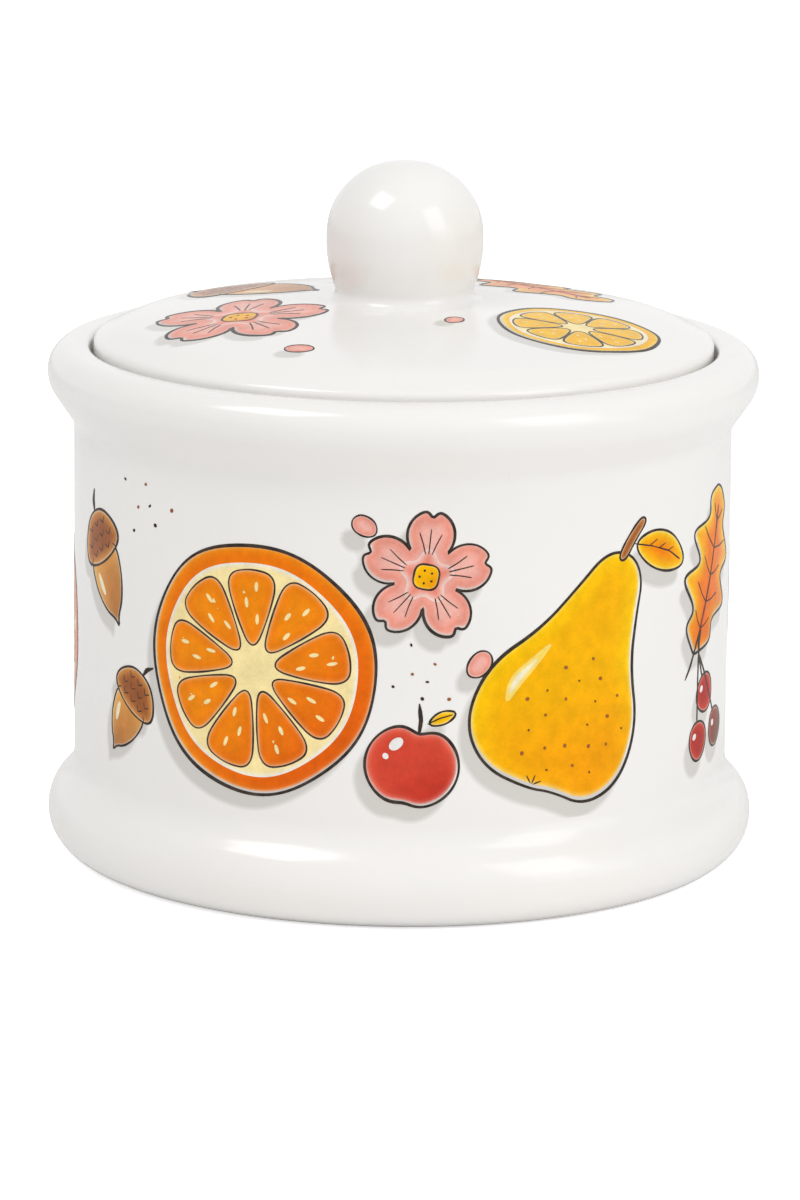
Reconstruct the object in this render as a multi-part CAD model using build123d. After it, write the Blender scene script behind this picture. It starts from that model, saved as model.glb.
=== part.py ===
from build123d import *

import os
from math import atan2, degrees, dist, radians, tan

# A glazed ceramic biscuit jar. Millimetres, +Z up, the origin at the middle of its base.
# Every profile is a list of corners (radius, height, rounding), turned about the Z axis.
# The edges that show are rounded; those under the glaze line or under the lid are bevelled.

EDGE_BEVEL = 0.9  # width and height of a bevelled edge

# Jar body
WALL_RADIUS = 83.6  # outside of the straight wall
WALL = 5.6
RIM_HEIGHT = 130.5  # top of the rolled rim
FLOOR = 6.5

# Rolled foot
FOOT_OVERHANG = 6.7  # how far it stands out beyond the wall
FOOT_ROUND = 10.0  # from the table up to the widest point
FOOT_BAND = 0.4  # short upright stretch at the widest point
FOOT_SHOULDER_ROUND = 11.5
FOOT_SLOPE = 45.0  # degrees from upright, from the shoulder to the wall
FOOT_COVE = 9.5

# Foot ring under the base
RING_WIDTH = 3.5  # flat land that the jar stands on
RING_FALL = 25.0  # degrees from upright, inner side of the ring
RECESS = 3.5

# Rolled rim
RIM_OVERHANG = 6.6
RIM_TOP_ROUND = 6.4
RIM_BAND = 0.4
RIM_UNDER_ROUND = 9.0
RIM_SLOPE = 34.0  # degrees from upright, from the wall out to the roll
RIM_COVE = 5.5
RIM_WIDTH = 10.9  # from the widest point in to the mouth
RIM_INNER_ROUND = 1.8

# Gallery, the ledge inside the rim that carries the lid
GALLERY_DEPTH = 5.0  # rim top down to the ledge
LEDGE_WIDTH = 7.3
LEDGE_THICKNESS = 4.0
LEDGE_SLOPE = 45.0  # degrees from upright, under the ledge
FLOOR_COVE = 9.0

# Lid
LID_GAP = 0.7  # open gap round the lid's edge
LID_EDGE = 6.5  # seat up to the sharp corner of the edge
LID_EDGE_ROUND = 2.2
LID_THICKNESS = 5.5
BEVEL_WIDTH = 8.8
BEVEL_SLOPE = 24.2  # degrees from level
SHOULDER_ROUND = 20.0
DOME_SLOPE = 10.0  # degrees from level, outer part of the dome
CROWN_SLOPE = 2.9  # degrees from level, next to the collar
CROWN_RADIUS = 43.3  # where the dome turns from one slope to the other
DOME_ROUND = 330.0

# Locating flange under the lid
FLANGE_GAP = 1.5  # between the flange and the ledge
FLANGE_WIDTH = 4.5
FLANGE_DEPTH = 10.0

# Knob and the collar that carries it
BALL_RADIUS = 19.85  # at its widest
BALL_ROUND = 18.55  # rounding of its upper half
KNOB_HEIGHT = 31.6  # above the collar
NECK_INSET = 2.1  # how much less the radius is at the collar
FLANK_HEIGHT = 5.8  # collar up to where the flank would turn upright without its rounding
FLANK_ROUND = 32.0
KNOB_WALL = 5.0
ROOF_SLOPE = 30.0  # degrees from level, roof of the hollow
COLLAR_HEIGHT = 3.2
COLLAR_FLARE = 1.6
VENT_RADIUS = 1.6  # pin hole that lets the air out of the hollow knob in the kiln

# Places that follow from the sizes above
FOOT_RADIUS = WALL_RADIUS + FOOT_OVERHANG
RIM_RADIUS = WALL_RADIUS + RIM_OVERHANG
BORE_RADIUS = WALL_RADIUS - WALL
FLOOR_TOP = RECESS + FLOOR
RING_OUTER = FOOT_RADIUS - FOOT_ROUND
RING_INNER = RING_OUTER - RING_WIDTH
MOUTH_RADIUS = RIM_RADIUS - RIM_WIDTH
SEAT_HEIGHT = RIM_HEIGHT - GALLERY_DEPTH
LEDGE_RADIUS = MOUTH_RADIUS - LEDGE_WIDTH
LID_RADIUS = MOUTH_RADIUS - LID_GAP
FLANGE_RADIUS = LEDGE_RADIUS - FLANGE_GAP
FLANGE_INNER = FLANGE_RADIUS - FLANGE_WIDTH
NECK_RADIUS = BALL_RADIUS - NECK_INSET
HOLLOW_RADIUS = NECK_RADIUS - KNOB_WALL
COLLAR_RADIUS = NECK_RADIUS - COLLAR_HEIGHT * NECK_INSET / FLANK_HEIGHT
SHOULDER_RADIUS = LID_RADIUS - BEVEL_WIDTH
LID_EDGE_TOP = SEAT_HEIGHT + LID_EDGE
SHOULDER_HEIGHT = LID_EDGE_TOP + BEVEL_WIDTH * tan(radians(BEVEL_SLOPE))
CROWN_HEIGHT = SHOULDER_HEIGHT + (SHOULDER_RADIUS - CROWN_RADIUS) * tan(radians(DOME_SLOPE))
COLLAR_FOOT = CROWN_HEIGHT + (CROWN_RADIUS - COLLAR_RADIUS) * tan(radians(CROWN_SLOPE))
COLLAR_TOP = COLLAR_FOOT + COLLAR_HEIGHT
KNOB_TOP = COLLAR_TOP + KNOB_HEIGHT

RUN_SHARE = 0.98  # of a run between two corners, what their roundings may take up


def tangent_length(radius, turn):
    """Distance from a corner that turns by so many degrees to where its rounding starts."""
    return radius * tan(radians(turn / 2))


def corner_turn(before, corner, after):
    """How far a profile turns at a corner, in degrees."""
    way_in = atan2(corner[1] - before[1], corner[0] - before[0])
    way_out = atan2(after[1] - corner[1], after[0] - corner[0])
    turn = abs(degrees(way_out - way_in)) % 360
    return min(turn, 360 - turn)


def fitted_roundings(corners):
    """Each corner's rounding, held within the two runs that it lies between."""
    count = len(corners)
    turns = [corner_turn(corners[i - 1], corners[i], corners[(i + 1) % count]) for i in range(count)]
    lengths = [tangent_length(corners[i][2], turns[i]) for i in range(count)]
    fitted = []
    for i in range(count):
        share = 1.0
        for other in (i - 1, (i + 1) % count):
            needed = lengths[i] + lengths[other]
            run = dist(corners[i][:2], corners[other][:2])
            if needed > RUN_SHARE * run:
                share = min(share, RUN_SHARE * run / needed)
        fitted.append(corners[i][2] * share)
    return fitted


def turned(corners):
    """The solid that a closed profile of corners sweeps round the Z axis."""
    with BuildPart() as solid:
        with BuildSketch(Plane.XZ):
            with BuildLine():
                points = [(radius, height) for radius, height, rounding in corners]
                FilletPolyline(points, radius=fitted_roundings(corners), close=True)
            make_face()
        revolve(axis=Axis.Z)
    return solid.part


def foot_corners():
    """Outside of the rolled foot, from the ring that stands on the table up to the wall."""
    shoulder = FOOT_ROUND + FOOT_BAND + tangent_length(FOOT_SHOULDER_ROUND, FOOT_SLOPE)
    wall_end = shoulder + FOOT_OVERHANG / tan(radians(FOOT_SLOPE))
    return [
        (RING_INNER, 0, 0),
        (FOOT_RADIUS, 0, FOOT_ROUND),
        (FOOT_RADIUS, shoulder, FOOT_SHOULDER_ROUND),
        (WALL_RADIUS, wall_end, FOOT_COVE),
    ]


def rim_corners():
    """Outside and top of the rolled rim, from the wall over to the mouth."""
    roll_start = RIM_HEIGHT - RIM_TOP_ROUND - RIM_BAND - tangent_length(RIM_UNDER_ROUND, RIM_SLOPE)
    wall_end = roll_start - RIM_OVERHANG / tan(radians(RIM_SLOPE))
    return [
        (WALL_RADIUS, wall_end, RIM_COVE),
        (RIM_RADIUS, roll_start, RIM_UNDER_ROUND),
        (RIM_RADIUS, RIM_HEIGHT, RIM_TOP_ROUND),
        (MOUTH_RADIUS, RIM_HEIGHT, RIM_INNER_ROUND),
    ]


def gallery_corners():
    """The lid's ledge inside the rim, and the slope under it back to the wall."""
    ledge_under = SEAT_HEIGHT - LEDGE_THICKNESS
    slope_end = ledge_under - (BORE_RADIUS - LEDGE_RADIUS) / tan(radians(LEDGE_SLOPE))
    return [
        (MOUTH_RADIUS, SEAT_HEIGHT, 0),
        (LEDGE_RADIUS + EDGE_BEVEL, SEAT_HEIGHT, 0),
        (LEDGE_RADIUS, SEAT_HEIGHT - EDGE_BEVEL, 0),
        (LEDGE_RADIUS, ledge_under, 0),
        (BORE_RADIUS, slope_end, 0),
    ]


def floor_corners():
    """The floor inside, and the recess under it within the foot ring."""
    ring_root = RING_INNER - RECESS * tan(radians(RING_FALL))
    return [
        (BORE_RADIUS, FLOOR_TOP, FLOOR_COVE),
        (0, FLOOR_TOP, 0),
        (0, RECESS, 0),
        (ring_root, RECESS, 0),
    ]


def jar_body():
    return turned(foot_corners() + rim_corners() + gallery_corners() + floor_corners())


def lid_top_corners():
    """Top of the lid, from the vent over the knob's collar, the dome and the bevel to the edge."""
    return [
        (VENT_RADIUS, COLLAR_FOOT, 0),
        (HOLLOW_RADIUS, COLLAR_FOOT, 0),
        (HOLLOW_RADIUS, COLLAR_TOP, 0),
        (NECK_RADIUS, COLLAR_TOP, 0),
        (COLLAR_RADIUS, COLLAR_FOOT, COLLAR_FLARE),
        (CROWN_RADIUS, CROWN_HEIGHT, DOME_ROUND),
        (SHOULDER_RADIUS, SHOULDER_HEIGHT, SHOULDER_ROUND),
        (LID_RADIUS, LID_EDGE_TOP, LID_EDGE_ROUND),
    ]


def lid_under_corners():
    """Underside of the lid: the seat, the locating flange and the hollow under the dome."""
    flange_foot = SEAT_HEIGHT - FLANGE_DEPTH
    under_crown = CROWN_HEIGHT - LID_THICKNESS
    under_edge = under_crown - (FLANGE_INNER - CROWN_RADIUS) * tan(radians(DOME_SLOPE))
    vent_edge = under_crown + (CROWN_RADIUS - VENT_RADIUS) * tan(radians(CROWN_SLOPE))
    return [
        (LID_RADIUS, SEAT_HEIGHT + EDGE_BEVEL, 0),
        (LID_RADIUS - EDGE_BEVEL, SEAT_HEIGHT, 0),
        (FLANGE_RADIUS, SEAT_HEIGHT, 0),
        (FLANGE_RADIUS, flange_foot + EDGE_BEVEL, 0),
        (FLANGE_RADIUS - EDGE_BEVEL, flange_foot, 0),
        (FLANGE_INNER + EDGE_BEVEL, flange_foot, 0),
        (FLANGE_INNER, flange_foot + EDGE_BEVEL, 0),
        (FLANGE_INNER, under_edge, 0),
        (CROWN_RADIUS, under_crown, 0),
        (VENT_RADIUS, vent_edge, 0),
    ]


def lid():
    return turned(lid_top_corners() + lid_under_corners())


def knob_corners():
    """The knob: a round top, a flank that draws in to the collar, and the hollow up to its pointed roof."""
    roof_top = KNOB_TOP - KNOB_WALL
    return [
        (0, KNOB_TOP, 0),
        (BALL_RADIUS, KNOB_TOP, BALL_ROUND),
        (BALL_RADIUS, COLLAR_TOP + FLANK_HEIGHT, FLANK_ROUND),
        (NECK_RADIUS, COLLAR_TOP, 0),
        (HOLLOW_RADIUS, COLLAR_TOP, 0),
        (HOLLOW_RADIUS, roof_top - HOLLOW_RADIUS * tan(radians(ROOF_SLOPE)), 0),
        (0, roof_top, 0),
    ]


def knob():
    return turned(knob_corners())


def main():
    os.makedirs("parts", exist_ok=True)
    for name, build in {"jar_body": jar_body, "lid": lid, "knob": knob}.items():
        export_step(build(), f"parts/{name}.step")


main()
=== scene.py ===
from math import acos, atan, atan2, ceil, cos, degrees, pi, radians, sin, sqrt, tan

import bpy
import numpy as np
from mathutils import Matrix, Vector
from mathutils.geometry import delaunay_2d_cdt


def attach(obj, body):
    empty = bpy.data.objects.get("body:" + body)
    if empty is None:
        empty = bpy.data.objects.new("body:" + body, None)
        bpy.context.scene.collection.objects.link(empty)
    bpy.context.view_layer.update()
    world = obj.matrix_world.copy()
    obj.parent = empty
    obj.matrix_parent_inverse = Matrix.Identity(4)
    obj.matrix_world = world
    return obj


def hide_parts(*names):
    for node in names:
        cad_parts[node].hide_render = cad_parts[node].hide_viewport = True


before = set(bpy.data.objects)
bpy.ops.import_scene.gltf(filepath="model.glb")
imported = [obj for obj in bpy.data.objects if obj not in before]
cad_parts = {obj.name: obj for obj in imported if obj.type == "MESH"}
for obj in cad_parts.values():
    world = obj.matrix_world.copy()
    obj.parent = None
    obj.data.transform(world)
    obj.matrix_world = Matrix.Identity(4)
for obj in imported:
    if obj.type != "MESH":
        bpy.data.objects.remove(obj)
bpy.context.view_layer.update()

# A glazed ceramic biscuit jar with printed fruit, leaves and flowers under the glaze.
# Sizes are in millimetres, as in the solids; MM turns them into Blender's metres.
MM = 0.001
TINY = 1e-9  # the least length, or square of one, that is divided by
ON_AXIS = 1e-6  # mm from the axis, within which a point is on it
SAME_RADIUS = 1e-3  # mm between two radii that count as the same

# ---- sizes of the solids

WALL_RADIUS, WALL, RIM_HEIGHT, FLOOR = 83.6, 5.6, 130.5, 6.5
FOOT_OVERHANG, FOOT_ROUND, FOOT_BAND = 6.7, 10.0, 0.4
FOOT_SHOULDER_ROUND, FOOT_SLOPE, FOOT_COVE = 11.5, 45.0, 9.5
RING_WIDTH, RING_FALL, RECESS = 3.5, 25.0, 3.5
RIM_OVERHANG, RIM_TOP_ROUND, RIM_BAND, RIM_UNDER_ROUND = 6.6, 6.4, 0.4, 9.0
RIM_SLOPE, RIM_COVE, RIM_WIDTH, RIM_INNER_ROUND = 34.0, 5.5, 10.9, 1.8
GALLERY_DEPTH, LEDGE_WIDTH, LEDGE_THICKNESS, LEDGE_SLOPE = 5.0, 7.3, 4.0, 45.0
FLOOR_COVE = 9.0
LID_GAP, LID_EDGE, LID_EDGE_ROUND, LID_THICKNESS = 0.7, 6.5, 2.2, 5.5
BEVEL_WIDTH, BEVEL_SLOPE, SHOULDER_ROUND = 8.8, 24.2, 20.0
DOME_SLOPE, CROWN_SLOPE, CROWN_RADIUS, DOME_ROUND = 10.0, 2.9, 43.3, 330.0
FLANGE_GAP, FLANGE_WIDTH, FLANGE_DEPTH = 1.5, 4.5, 10.0
BALL_RADIUS, BALL_ROUND, KNOB_HEIGHT, NECK_INSET = 19.85, 18.55, 31.6, 2.1
FLANK_HEIGHT, FLANK_ROUND, KNOB_WALL, ROOF_SLOPE = 5.8, 32.0, 5.0, 30.0
COLLAR_HEIGHT, VENT_RADIUS = 3.2, 1.6

FOOT_RADIUS = WALL_RADIUS + FOOT_OVERHANG
RIM_RADIUS = WALL_RADIUS + RIM_OVERHANG
BORE_RADIUS = WALL_RADIUS - WALL
FLOOR_TOP = RECESS + FLOOR
RING_OUTER = FOOT_RADIUS - FOOT_ROUND
RING_INNER = RING_OUTER - RING_WIDTH
MOUTH_RADIUS = RIM_RADIUS - RIM_WIDTH
SEAT_HEIGHT = RIM_HEIGHT - GALLERY_DEPTH
LEDGE_RADIUS = MOUTH_RADIUS - LEDGE_WIDTH
LID_RADIUS = MOUTH_RADIUS - LID_GAP
FLANGE_RADIUS = LEDGE_RADIUS - FLANGE_GAP
FLANGE_INNER = FLANGE_RADIUS - FLANGE_WIDTH
NECK_RADIUS = BALL_RADIUS - NECK_INSET
HOLLOW_RADIUS = NECK_RADIUS - KNOB_WALL
COLLAR_RADIUS = NECK_RADIUS - COLLAR_HEIGHT * NECK_INSET / FLANK_HEIGHT
SHOULDER_RADIUS = LID_RADIUS - BEVEL_WIDTH
LID_EDGE_TOP = SEAT_HEIGHT + LID_EDGE
SHOULDER_HEIGHT = LID_EDGE_TOP + BEVEL_WIDTH * tan(radians(BEVEL_SLOPE))
CROWN_HEIGHT = SHOULDER_HEIGHT + (SHOULDER_RADIUS - CROWN_RADIUS) * tan(radians(DOME_SLOPE))
COLLAR_FOOT = CROWN_HEIGHT + (CROWN_RADIUS - COLLAR_RADIUS) * tan(radians(CROWN_SLOPE))
COLLAR_TOP = COLLAR_FOOT + COLLAR_HEIGHT
KNOB_TOP = COLLAR_TOP + KNOB_HEIGHT

# Softened edges that the solids leave sharp or bevelled
RING_ROUND, RECESS_COVE, LEDGE_ROUND, LEDGE_COVE, GALLERY_COVE = 1.2, 2.5, 1.0, 6.0, 0.8
FLANGE_ROUND, SEAT_ROUND, SEAT_COVE, UNDER_COVE, VENT_ROUND = 1.5, 1.2, 0.9, 3.0, 0.6
COLLAR_GLAZE = 2.6  # the collar's flare, as the glaze that runs into it rounds it


def tangent_length(radius, turn):
    """Distance from a corner that turns by so many degrees to where its rounding starts."""
    return radius * tan(radians(turn / 2))


def jar_corners():
    """(radius, height, rounding) from the middle of the base round the jar to its floor."""
    shoulder = FOOT_ROUND + FOOT_BAND + tangent_length(FOOT_SHOULDER_ROUND, FOOT_SLOPE)
    wall_start = shoulder + FOOT_OVERHANG / tan(radians(FOOT_SLOPE))
    roll = RIM_HEIGHT - RIM_TOP_ROUND - RIM_BAND - tangent_length(RIM_UNDER_ROUND, RIM_SLOPE)
    ledge_under = SEAT_HEIGHT - LEDGE_THICKNESS
    slope_end = ledge_under - (BORE_RADIUS - LEDGE_RADIUS) / tan(radians(LEDGE_SLOPE))
    return [
        (0, RECESS, 0),
        (RING_INNER - RECESS * tan(radians(RING_FALL)), RECESS, RECESS_COVE),
        (RING_INNER, 0, RING_ROUND),
        (FOOT_RADIUS, 0, FOOT_ROUND),
        (FOOT_RADIUS, shoulder, FOOT_SHOULDER_ROUND),
        (WALL_RADIUS, wall_start, FOOT_COVE),
        (WALL_RADIUS, roll - RIM_OVERHANG / tan(radians(RIM_SLOPE)), RIM_COVE),
        (RIM_RADIUS, roll, RIM_UNDER_ROUND),
        (RIM_RADIUS, RIM_HEIGHT, RIM_TOP_ROUND),
        (MOUTH_RADIUS, RIM_HEIGHT, RIM_INNER_ROUND),
        (MOUTH_RADIUS, SEAT_HEIGHT, GALLERY_COVE),
        (LEDGE_RADIUS, SEAT_HEIGHT, LEDGE_ROUND),
        (LEDGE_RADIUS, ledge_under, LEDGE_ROUND),
        (BORE_RADIUS, slope_end, LEDGE_COVE),
        (BORE_RADIUS, FLOOR_TOP, FLOOR_COVE),
        (0, FLOOR_TOP, 0),
    ]


def lid_corners():
    """(radius, height, rounding) once round the lid, from the vent's underside outwards."""
    flange_foot = SEAT_HEIGHT - FLANGE_DEPTH
    under_crown = CROWN_HEIGHT - LID_THICKNESS
    under_edge = under_crown - (FLANGE_INNER - CROWN_RADIUS) * tan(radians(DOME_SLOPE))
    vent_edge = under_crown + (CROWN_RADIUS - VENT_RADIUS) * tan(radians(CROWN_SLOPE))
    return [
        (VENT_RADIUS, vent_edge, VENT_ROUND),
        (CROWN_RADIUS, under_crown, DOME_ROUND - LID_THICKNESS),
        (FLANGE_INNER, under_edge, UNDER_COVE),
        (FLANGE_INNER, flange_foot, FLANGE_ROUND),
        (FLANGE_RADIUS, flange_foot, FLANGE_ROUND),
        (FLANGE_RADIUS, SEAT_HEIGHT, SEAT_COVE),
        (LID_RADIUS, SEAT_HEIGHT, SEAT_ROUND),
        (LID_RADIUS, LID_EDGE_TOP, LID_EDGE_ROUND),
        (SHOULDER_RADIUS, SHOULDER_HEIGHT, SHOULDER_ROUND),
        (CROWN_RADIUS, CROWN_HEIGHT, DOME_ROUND),
        (COLLAR_RADIUS, COLLAR_FOOT, COLLAR_GLAZE),
        (NECK_RADIUS, COLLAR_TOP, 0),
        (HOLLOW_RADIUS, COLLAR_TOP, 0),
        (HOLLOW_RADIUS, COLLAR_FOOT, 0),
        (VENT_RADIUS, COLLAR_FOOT, 0),
    ]


def knob_corners():
    """(radius, height, rounding) from the roof of the hollow down round the knob to its top."""
    roof_top = KNOB_TOP - KNOB_WALL
    return [
        (0, roof_top, 0),
        (HOLLOW_RADIUS, roof_top - HOLLOW_RADIUS * tan(radians(ROOF_SLOPE)), 0),
        (HOLLOW_RADIUS, COLLAR_TOP, 0),
        (NECK_RADIUS, COLLAR_TOP, 0),
        (BALL_RADIUS, COLLAR_TOP + FLANK_HEIGHT, FLANK_ROUND),
        (BALL_RADIUS, KNOB_TOP, BALL_ROUND),
        (0, KNOB_TOP, 0),
    ]


# ---- profiles

FINE_STEP, PLAIN_STEP = 1.4, 3.5  # mm between rows on the printed skins and elsewhere
FINE_MARGIN = 1.0  # mm inside the wall and below the rim's top, where the jar's fine rows end
STEP_SLACK = 1e-6  # of a step, so that a run of whole steps isn't given one more
ARC_STEP, KNOB_ARC_STEP = 7.5, 2.5  # degrees between the rows of a rounding


def unit(vector):
    return vector / np.linalg.norm(vector)


def arc(before, corner, after, radius, arc_step):
    """Points of a corner's rounding, from the run that comes to it to the run that leaves it."""
    way_back, way_on = unit(before - corner), unit(after - corner)
    half_turn = (pi - acos(np.clip(way_back @ way_on, -1, 1))) / 2
    centre = corner + unit(way_back + way_on) * radius / cos(half_turn)
    first, last = (atan2(*(corner + way * radius * tan(half_turn) - centre)[::-1])
                   for way in (way_back, way_on))
    sweep = (last - first + pi) % (2 * pi) - pi
    steps = max(2, round(abs(degrees(sweep)) / arc_step), round(abs(sweep) * radius / PLAIN_STEP))
    angles = [first + sweep * k / steps for k in range(steps + 1)]
    return [centre + radius * np.array([cos(angle), sin(angle)]) for angle in angles]


def rounded(corners, closed, row_step, arc_step=ARC_STEP):
    """Points of a profile: each corner's arc, and rows along the straight runs between them."""
    places = [np.array(corner[:2], float) for corner in corners]
    count = len(places)
    points = []
    for i, (place, (_, _, radius)) in enumerate(zip(places, corners)):
        if radius == 0 or not closed and i in (0, count - 1):
            points.append(place)
        else:
            points += arc(places[i - 1], place, places[(i + 1) % count], radius, arc_step)
    return with_rows(points, closed, row_step)


def with_rows(points, closed, row_step):
    """The same profile with extra points, so that no run exceeds its row_step."""
    rows = []
    for start, end in zip(points, points[1:] + points[:1] if closed else points[1:]):
        length = np.linalg.norm(end - start)
        steps = max(1, ceil(length / row_step(*(start + end) / 2) - STEP_SLACK))
        rows += [start + (end - start) * k / steps for k in range(steps)]
    if not closed:
        rows.append(points[-1])
    return np.array(rows)


def jar_rows(radius, height):
    printed = radius > WALL_RADIUS - FINE_MARGIN and height < RIM_HEIGHT - FINE_MARGIN
    return FINE_STEP if printed else PLAIN_STEP


def lid_rows(radius, height):
    """Fine on the lid's top, which is above the middle of its thickness."""
    slope = CROWN_SLOPE if radius < CROWN_RADIUS else DOME_SLOPE
    middle = CROWN_HEIGHT - LID_THICKNESS / 2 - (radius - CROWN_RADIUS) * tan(radians(slope))
    return FINE_STEP if radius > NECK_RADIUS and height > max(LID_EDGE_TOP, middle) else PLAIN_STEP


# ---- the waved glaze

WAVE_HEIGHT = 0.09  # mm, half of how far the slow waves of a poured glaze dip below the solids
# turns round the axis, radians per mm along the profile, phase
WAVES = [(3, 0.11, 0.4), (5, -0.07, 2.1), (7, 0.16, 4.4),
         (12, 0.05, 1.3), (2, -0.23, 5.2), (15, 0.12, 0.9)]
CALM_RADIUS, CALM_REACH = 22.0, 14.0  # no waves on the knob, nor on the collar that it stands on
CALM_HEIGHT = 3.0  # nor on the ground foot ring


def wave(angle, along, radius, height):
    """How far the glaze dips at an angle round the axis and a length along the profile."""
    total = sum(np.sin(turns * angle + pitch * along + phase) for turns, pitch, phase in WAVES)
    calm = np.clip((radius - CALM_RADIUS) / CALM_REACH, 0, 1) * np.clip(height / CALM_HEIGHT, 0, 1)
    return calm * WAVE_HEIGHT * (total / len(WAVES) - 1)


def lengths_along(line):
    return np.concatenate([[0], np.cumsum(np.linalg.norm(np.diff(line, axis=0), axis=1))])


def line_normals(line, closed):
    """Unit normals to the right of a line: out of the clay or the outline that it runs round."""
    along = np.roll(line, -1, 0) - np.roll(line, 1, 0) if closed else np.gradient(line, axis=0)
    normals = np.stack([along[:, 1], -along[:, 0]], 1)
    return normals / np.maximum(np.linalg.norm(normals, axis=1, keepdims=True), TINY)


def ring_points(profile, normals, angles):
    """Points of the waved surface: a row for each profile point, a column for each angle."""
    radius, height = profile[:, 0:1], profile[:, 1:2]
    lift = wave(angles[None, :], lengths_along(profile)[:, None], radius, height)
    radius, height = radius + normals[:, 0:1] * lift, height + normals[:, 1:2] * lift
    return np.stack([radius * np.cos(angles), radius * np.sin(angles), height], 2)


SHARP_ANGLE = 40.0  # degrees; a crease wider than this isn't shaded smooth


def linked(name, data):
    """A new object in the scene."""
    thing = bpy.data.objects.new(name, data)
    bpy.context.scene.collection.objects.link(thing)
    return thing


def new_object(name, points, faces, smooth=True):
    mesh = bpy.data.meshes.new(name)
    mesh.from_pydata((np.asarray(points, float) * MM).tolist(), [], faces)
    if smooth:
        mesh.polygons.foreach_set("use_smooth", [True] * len(mesh.polygons))
        mesh.set_sharp_from_angle(angle=radians(SHARP_ANGLE))
    return linked(name, mesh)


def lathe(name, profile, segments, closed):
    """A turned mesh with its own map. Where a profile meets the axis, it closes in a fan."""
    angles = np.arange(segments) * 2 * pi / segments
    grid = ring_points(profile, line_normals(profile, closed), angles)
    along = lengths_along(np.vstack([profile, profile[:1]]) if closed else profile)
    along /= along[-1]
    poles = profile[:, 0] < ON_AXIS
    rows = len(profile)
    points, faces, places, first_of_row = [], [], [], []
    for row in range(rows):
        first_of_row.append(len(points))
        points += list(grid[row, :1] if poles[row] else grid[row])
    for row in range(rows if closed else rows - 1):
        after = (row + 1) % rows
        low, high = first_of_row[row], first_of_row[after]
        near, far = along[row], along[row + 1]
        for k in range(segments):
            n = (k + 1) % segments
            left, right = k / segments, (k + 1) / segments
            if poles[row]:
                faces.append((low, high + n, high + k))
                places += [(left, near), (right, far), (left, far)]
            elif poles[after]:
                faces.append((low + k, low + n, high))
                places += [(left, near), (right, near), (left, far)]
            else:
                faces.append((low + k, low + n, high + n, high + k))
                places += [(left, near), (right, near), (right, far), (left, far)]
    piece = new_object(name, points, faces)
    layer = piece.data.uv_layers.new(name="OFBake")
    layer.data.foreach_set("uv", np.array(places).ravel())
    return piece


SEGMENTS, KNOB_SEGMENTS = 384, 160
jar_profile = rounded(jar_corners(), False, jar_rows)
lid_profile = rounded(lid_corners(), True, lid_rows)
knob_profile = rounded(knob_corners(), False, lambda *place: PLAIN_STEP, KNOB_ARC_STEP)
jar = lathe("glazed_jar", jar_profile, SEGMENTS, False)
lid = lathe("glazed_lid", lid_profile, SEGMENTS, True)
knob = lathe("glazed_knob", knob_profile, KNOB_SEGMENTS, False)

for piece, body, node, slot in (
    (jar, "jar", "jar_body", "jar_glaze"),
    (lid, "lid", "lid", "lid_glaze"),
    (knob, "lid", "knob", "knob_glaze"),
):
    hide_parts(node)
    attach(piece, body)

# ---- skins that carry the print


class Skin:
    """A glazed surface that flat shapes are laid on, for one body."""

    def __init__(self, body, target, rows, profile, closed):
        self.body, self.target = body, target
        lengths, normals = lengths_along(profile), line_normals(profile, closed)
        self.rows, self.lengths, self.normals = profile[rows], lengths[rows], normals[rows]

    def laid(self, angle, key, keys, lift):
        """Points and normals at an angle round the axis and a key, which grows along the rows."""
        radius, height, along, out, up = (
            np.interp(key, keys, values)
            for values in (self.rows[:, 0], self.rows[:, 1], self.lengths, *self.normals.T)
        )
        lift = lift + wave(angle, along, radius, height)
        reach = radius + out * lift
        points = np.stack([reach * np.cos(angle), reach * np.sin(angle), height + up * lift], 1)
        return points, np.stack([out * np.cos(angle), out * np.sin(angle), up], 1)


class Wall(Skin):
    """The jar's wall; flat places are mm to the right of the front and mm above the table."""

    around = 2 * pi * WALL_RADIUS

    def lay(self, flat, lift):
        return self.laid(flat[:, 0] / WALL_RADIUS - pi / 2, flat[:, 1], self.rows[:, 1], lift)

    def flat(self, points):
        angle = np.arctan2(points[:, 1], points[:, 0]) + pi / 2
        return np.stack([angle * WALL_RADIUS, points[:, 2]], 1)

    def apart(self, flat, centre):
        """Offsets from a centre, the short way round the jar."""
        offset = flat - centre
        offset[:, 0] = (offset[:, 0] + self.around / 2) % self.around - self.around / 2
        return offset


class Dome(Skin):
    """The lid's top; flat places are x and y seen from above."""

    def lay(self, flat, lift):
        radius = np.hypot(flat[:, 0], flat[:, 1])
        return self.laid(np.arctan2(flat[:, 1], flat[:, 0]), -radius, -self.rows[:, 0], lift)

    def flat(self, points):
        return points[:, :2]

    def apart(self, flat, centre):
        return flat - centre


wall_rows = np.flatnonzero(abs(jar_profile[:, 0] - WALL_RADIUS) < SAME_RADIUS)
lid_edge_row = np.flatnonzero(abs(lid_profile[:, 0] - LID_RADIUS) < SAME_RADIUS)[-1]
dome_rows = [row for row in range(lid_edge_row + 1, len(lid_profile))
             if lid_profile[row, 0] > NECK_RADIUS + COLLAR_GLAZE]
wall_skin = Wall("jar", jar, wall_rows, jar_profile, False)
dome_skin = Dome("lid", lid, dome_rows, lid_profile, True)

# ---- flat shapes

CORNER_CUT = 0.25  # the share of each run that is cut off at either end
OUTLINE_STEP = 1.0  # mm between the points of an outline filled with colour


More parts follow.
